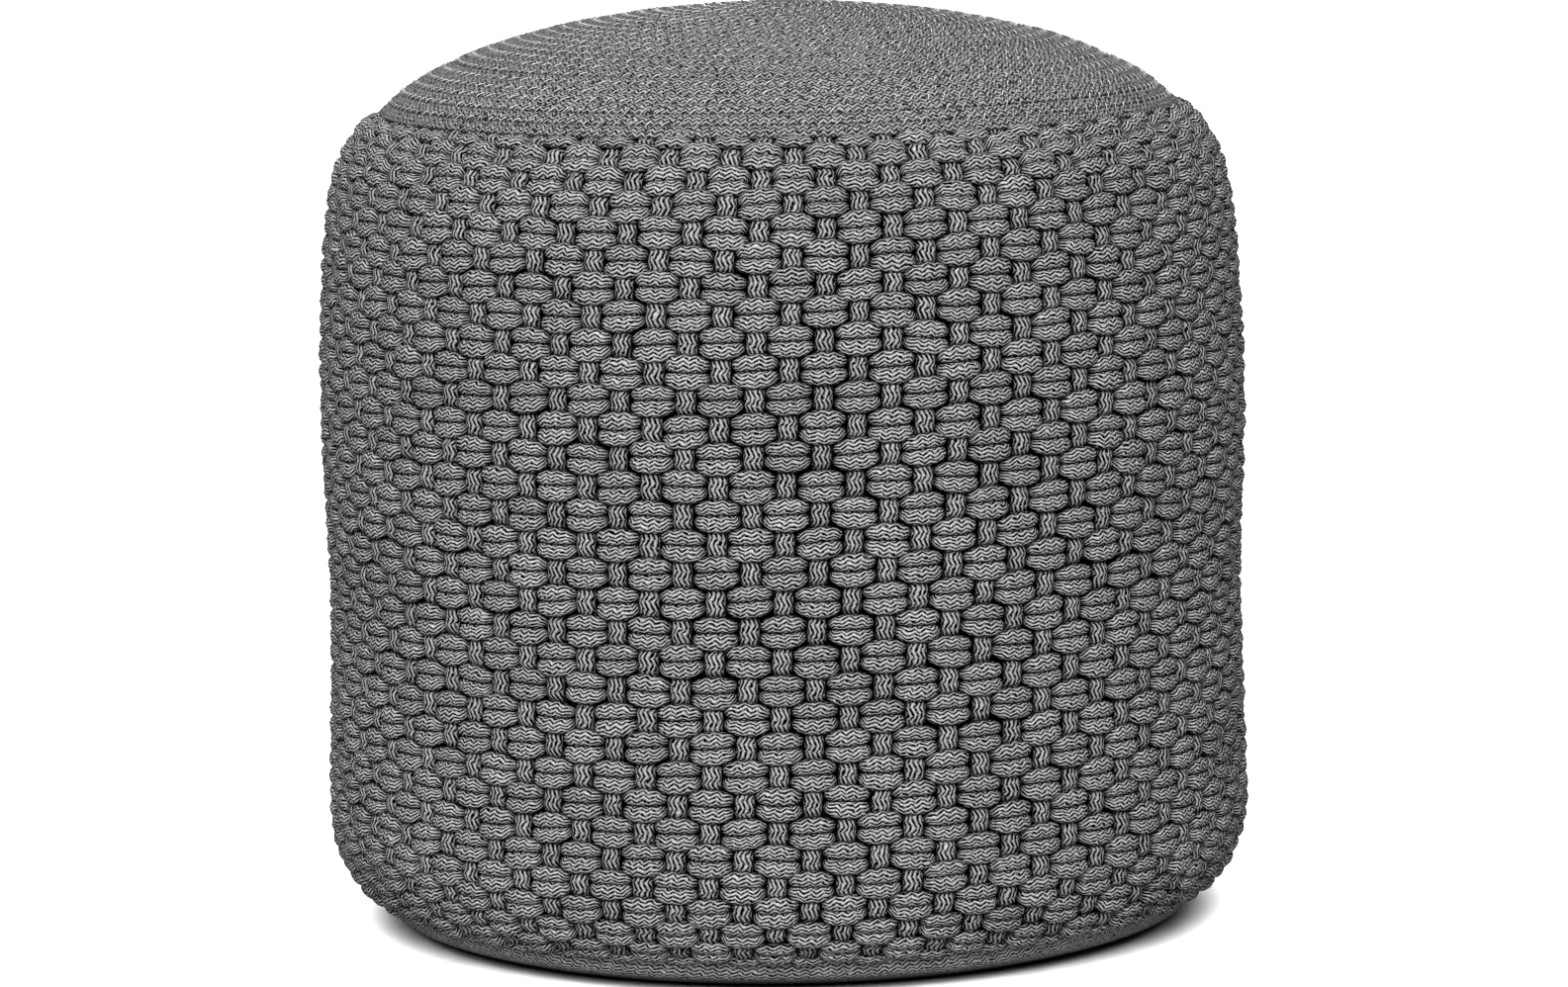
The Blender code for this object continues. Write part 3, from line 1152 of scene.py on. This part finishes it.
@dataclass
class TopCoil:
    """The top panel: one cord coiled flat from the middle and sewn turn to turn.

    Its sizes are in metres, but for those told in turns, in steps along the coil or as a part of the whole.
    """

    layout: WeaveLayout
    finish: bpy.types.Material
    thread: bpy.types.Material
    coil_seed: int = 37
    thread_seed: int = 41
    turns: int = 26
    steps_per_turn: int = 120
    first_angle: float = -2.2
    rim: float = 0.2268
    drop: float = 0.0012
    drop_from: float = 0.12
    half_depth: float = 0.0027
    laid_in: float = 0.0004
    dip: float = 0.0024
    dip_width: float = 0.024
    overlap: float = 1.16
    ring: tuple[float, ...] = (0.0, 22.0, 45.0, 70.0, 110.0, 135.0, 158.0, 180.0, 270.0)
    squareness: float = 0.80
    # What is left of the tone in the seams between turns: painted shade
    side_shade: float = 0.30
    wave_steps: int = 40
    wave_depth: float = 0.00025
    wave_tone: float = 0.03
    start_steps: int = 6
    end_steps: int = 24
    end_size: float = 0.25
    stitch_pitch: float = 0.0086
    stitch_reach: float = 0.0021
    stitch_slant: float = 0.0017
    reach_spread: float = 0.10
    slant_spread: float = 0.20
    first_stitch: int = 4
    stitch_from: float = 0.35
    fine_steps: int = 60000
    stitch_across: tuple[float, ...] = (-1.0, -0.55, 0.0, 0.55, 1.0)
    stitch_ring: tuple[float, ...] = (0.0, 60.0, 120.0, 180.0)
    stitch_depth: float = 0.0006
    stitch_height: float = 0.0009
    stitch_flatness: float = 0.98
    stitch_tones_and_painted_glints: Span = (0.65, 1.35)
    thread_radius: float = 0.00031

    @property
    def pitch(self) -> float:
        """The coil's width from turn to turn, so that its middle line ends at the rim, at the back."""
        return self.rim / (self.turns + 1)

    def along(self, angle: np.ndarray) -> np.ndarray:
        """Length down the outline of the coil's middle line at an angle: one pitch for each whole turn.

        The outer turns are laid a little lower on the left than on the right.
        """
        along = self.pitch * (0.5 + angle / (2 * np.pi))
        return along - self.drop * smooth_step(along, self.drop_from, self.rim) * np.sin(angle)

    def depth(self, along: np.ndarray) -> np.ndarray:
        """How far inside the outline the coil's middle lies. It dips at the rim, beside the weave."""
        dip = self.dip * smooth_step(along, self.rim - self.dip_width, self.rim)
        return self.half_depth + self.laid_in + dip

    def build(self) -> list[bpy.types.Object]:
        """Sweeps the coil, which is thin at its two ends, and sews it.

        Returns:
            The coil's object and the thread's.
        """
        outline = self.layout.outline
        rng = np.random.default_rng(self.coil_seed)
        count = self.turns * self.steps_per_turn
        step = np.arange(count)
        angle = np.linspace(self.first_angle, 2 * np.pi * (self.turns + 0.5), count)
        along = self.along(angle)
        knots = np.arange(0, count + self.wave_steps, self.wave_steps)
        wave = np.interp(step, knots, rng.normal(0, 1, len(knots)))
        path = outline.surface(angle, along, self.depth(along) + self.wave_depth * wave)
        normal = outline.normals(angle, along)
        ending = smooth_step(step, count - self.end_steps, count)
        size = smooth_step(step, 0, self.start_steps) * (1.0 - (1.0 - self.end_size) * ending)
        size = np.maximum(size, self.end_size)
        half_width = self.pitch / 2.0 * self.overlap * size
        tone_and_painted_light = 1.0 + self.wave_tone * wave
        columns = [column[None] for column in (path, normal, half_width, self.half_depth * size, tone_and_painted_light)]
        parts = MeshParts()
        # The rings' painted shade darkens the seams between the turns
        Sweep(self.ring, self.squareness, self.side_shade).add(parts, *columns, np.array([0.0]))
        coil = parts.make_piece("top_coil_cord", self.finish, Part.TOP)
        return [coil, self.sew()]

    def sew(self) -> bpy.types.Object:
        """Lays a slanted stitch over the seam outside each turn, one every stitch_pitch along the cord.

        A stitch is an arch, about the square root of 1 - x^2 high for x from -1 to 1 across the seam.

        Returns:
            The thread's object.
        """
        outline = self.layout.outline
        rng = np.random.default_rng(self.thread_seed)
        turn = np.linspace(self.stitch_from, 2 * np.pi * (self.turns - 0.5), self.fine_steps)
        line = outline.surface(turn, self.along(turn), self.depth(self.along(turn)))
        run = np.concatenate([[0.0], np.cumsum(np.linalg.norm(np.diff(line, axis=0), axis=-1))])
        stitches = np.arange(self.first_stitch, int(run[-1] / self.stitch_pitch))
        angle = np.interp(stitches * self.stitch_pitch, run, turn)
        count = len(angle)
        middle = self.along(angle) + self.pitch / 2
        radius = outline.section_at(middle)[0]
        across = np.array(self.stitch_across)
        reach = self.stitch_reach * rng.normal(1.0, self.reach_spread, count)
        slant = self.stitch_slant * rng.normal(1.0, self.slant_spread, count)
        along = middle[:, None] + reach[:, None] * across
        facing = angle[:, None] - slant[:, None] / radius[:, None] * across
        arch = np.sqrt(1.0 - self.stitch_flatness * across**2)
        depth = self.depth(along) - self.half_depth + self.stitch_depth - self.stitch_height * arch
        path = outline.surface(facing, along, depth)
        normal = outline.normals(facing, along)
        full = np.full(path.shape[:2], self.thread_radius)
        # Each stitch's own random brightness; the brightest stand in for glints on the thread, a painted
        # highlight
        tone_and_painted_light = np.repeat(rng.uniform(*self.stitch_tones_and_painted_glints, count)[:, None], len(across), axis=1)
        parts = MeshParts()
        Sweep(self.stitch_ring, side_shade=1.0).add(parts, path, normal, full, full, tone_and_painted_light, np.zeros(count))
        return parts.make_piece("top_sewing_thread", self.thread, Part.TOP)


@dataclass
class BasePanel:
    """The plain round under the pouf: a thin dished panel, turned up at its rim and flat underneath."""

    layout: WeaveLayout
    finish: bpy.types.Material
    thickness: float = 0.0040
    rim_thickness: float = 0.0022
    thickens: float = 0.014
    tuck: float = 0.010
    buried: float = 0.0090
    comes_out: float = 0.009
    steps: int = 256
    side_rings: int = 22
    flat_rings: int = 10
    first_ring: float = 0.02
    rim_corner: float = 0.2
    rim_rings: int = 5
    foot_shade: float = 0.20
    darkens: Span = (0.686, 0.720)

    def build(self) -> bpy.types.Object:
        """Turns the panel's profile, from the axis out along its inner face, round its rim and back.

        The rim lies buried under the last row of the weave. The tone falls to foot_shade toward the floor,
        as painted shade where the panel turns under.

        Returns:
            The panel's object.
        """
        base_rim = self.layout.base_rim
        outline = self.layout.outline
        facing = np.linspace(0.0, 2 * np.pi, self.steps, endpoint=False)
        flat = outline.sections[-1].radius
        middle = np.linspace(self.first_ring, flat, self.flat_rings, endpoint=False)
        inner_flat = turned(facing, middle[:, None], np.array(self.thickness))
        edge = base_rim - self.tuck
        up = np.linspace(outline.total, edge, self.side_rings)
        buried = self.buried * (1.0 - smooth_step(up, edge, base_rim + self.comes_out))
        full = smooth_step(up, base_rim, base_rim + self.thickens)
        thick = self.rim_thickness + (self.thickness - self.rim_thickness) * full
        inner = outline.surface(facing, up[:, None], (thick + buried)[:, None])
        turn = np.linspace(self.rim_corner, np.pi - self.rim_corner, self.rim_rings)
        rim_along = edge - self.rim_thickness / 2 * np.sin(turn)
        rim_depth = buried[-1] + self.rim_thickness / 2 * (1.0 + np.cos(turn))
        rim = outline.surface(facing, rim_along[:, None], rim_depth[:, None])
        outer = outline.surface(facing, up[::-1, None], buried[::-1, None])
        outer_flat = inner_flat[::-1] * (1.0, 1.0, 0.0)
        points = np.concatenate([inner_flat, inner, rim, outer, outer_flat])
        step = np.linalg.norm(np.diff(points[:, 0], axis=0), axis=-1)
        along = np.concatenate([[0.0], np.cumsum(step)])
        is_inner = np.arange(len(along)) < len(along) // 2
        from_centre = np.where(is_inner, along, along[-1] - along)
        # Painted shade: darker toward the floor
        low = smooth_step(outline.total + flat - from_centre, *self.darkens)
        tone_and_painted_light = 1.0 - (1.0 - self.foot_shade) * low
        parts = MeshParts()
        add_ring_grid(parts, points, from_centre, tone_and_painted_light[:, None], is_flat_cut=True)
        return parts.make_piece("base_braid_panel", self.finish, Part.BASE)


@dataclass(frozen=True)
class Softbox:
    """A wide, far softbox, which lights the floor evenly to its edge.

    It is turned so many degrees from the front, growing to the right, and raised so many above the floor.
    Its strength is what falls on a surface that faces it, and its spread is how wide it looks, in degrees.
    """

    name: str
    turned: float
    raised: float
    strength: float
    spread: float
    distance: float = 3.0

    def build(self) -> None:
        """Hangs the light and points it at the pouf."""
        data = bpy.data.lights.new(self.name, "SUN")
        data.energy = self.strength
        data.angle = math.radians(self.spread)
        light = bpy.data.objects.new(self.name, data)
        bpy.context.scene.collection.objects.link(light)
        aside = math.radians(self.turned)
        level = math.cos(math.radians(self.raised))
        up = math.sin(math.radians(self.raised))
        way = Vector((level * math.sin(aside), -level * math.cos(aside), up))
        light.location = way * self.distance
        light.rotation_mode = "XYZ"
        light.rotation_euler = way.to_track_quat("Z", "Y").to_euler()


@dataclass
class Studio:
    """The floor, the lights and the camera."""

    camera_back: float = 3.157
    camera_height: float = 0.6656
    camera_pitch: float = math.radians(7.844)
    camera_roll: float = math.radians(-0.933)
    lens: float = 135.0
    sensor: float = 36.0
    sees_to: float = 100.0
    floor_half: float = 15.0
    floor_white: float = 0.55
    floor_roughness: float = 0.9
    room_light: float = 0.10
    softboxes: tuple[Softbox, ...] = (
        Softbox("front_softbox", turned=-4.0, raised=33.0, strength=12.0, spread=34.0),
        Softbox("back_softbox", turned=180.0, raised=46.0, strength=5.6, spread=70.0),
    )

    def build(self) -> None:
        """Places the camera, the floor, the lights and the pale surroundings."""
        scene = bpy.context.scene
        self.place_camera()
        self.lay_floor()
        for softbox in self.softboxes:
            softbox.build()
        world = bpy.data.worlds.new("pale_room")
        world.use_nodes = True
        back = world.node_tree.nodes["Background"]
        back.inputs["Color"].default_value = (1.0, 1.0, 1.0, 1.0)
        back.inputs["Strength"].default_value = self.room_light
        scene.world = world
        scene.view_settings.view_transform = "Standard"
        scene.view_settings.look = "High Contrast"

    def place_camera(self) -> None:
        """Stands the camera in front of the pouf, looking a little down and rolled a little."""
        data = bpy.data.cameras.new("front_camera")
        data.lens = self.lens
        data.sensor_width = self.sensor
        data.clip_end = self.sees_to
        camera = bpy.data.objects.new("front_camera", data)
        bpy.context.scene.collection.objects.link(camera)
        camera.location = (0.0, -self.camera_back, self.camera_height)
        camera.rotation_mode = "XYZ"
        tilt = Matrix.Rotation(math.pi / 2 - self.camera_pitch, 4, "X")
        camera.rotation_euler = (tilt @ Matrix.Rotation(self.camera_roll, 4, "Z")).to_euler()
        bpy.context.scene.camera = camera

    def lay_floor(self) -> None:
        """Lays a plain pale floor under everything."""
        half = self.floor_half
        mesh = bpy.data.meshes.new("pale_floor")
        corners = [(-half, -half, 0.0), (half, -half, 0.0), (half, half, 0.0), (-half, half, 0.0)]
        mesh.from_pydata(corners, [], [(0, 1, 2, 3)])
        floor = bpy.data.objects.new("pale_floor", mesh)
        bpy.context.scene.collection.objects.link(floor)
        paper = bpy.data.materials.new("pale_paper")
        paper.use_nodes = True
        shader = paper.node_tree.nodes["Principled BSDF"]
        shader.inputs["Base Color"].default_value = (*[self.floor_white] * 3, 1.0)
        shader.inputs["Roughness"].default_value = self.floor_roughness
        mesh.materials.append(paper)


def main() -> None:
    """Builds the scene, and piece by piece."""
    logging.basicConfig(level=logging.INFO, format="%(name)s: %(message)s")
    Studio().build()
    finishes = Finishes.build()
    layout = WeaveLayout(Outline())
    FilledBody(layout, finishes.body).build()
    WarpCords(layout, finishes.warp).build()
    WeftCords(layout, finishes.weft).build()
    TopCoil(layout, finishes.coil, finishes.thread).build()
    BasePanel(layout, finishes.base).build()


if __name__ == "__main__":
    main()
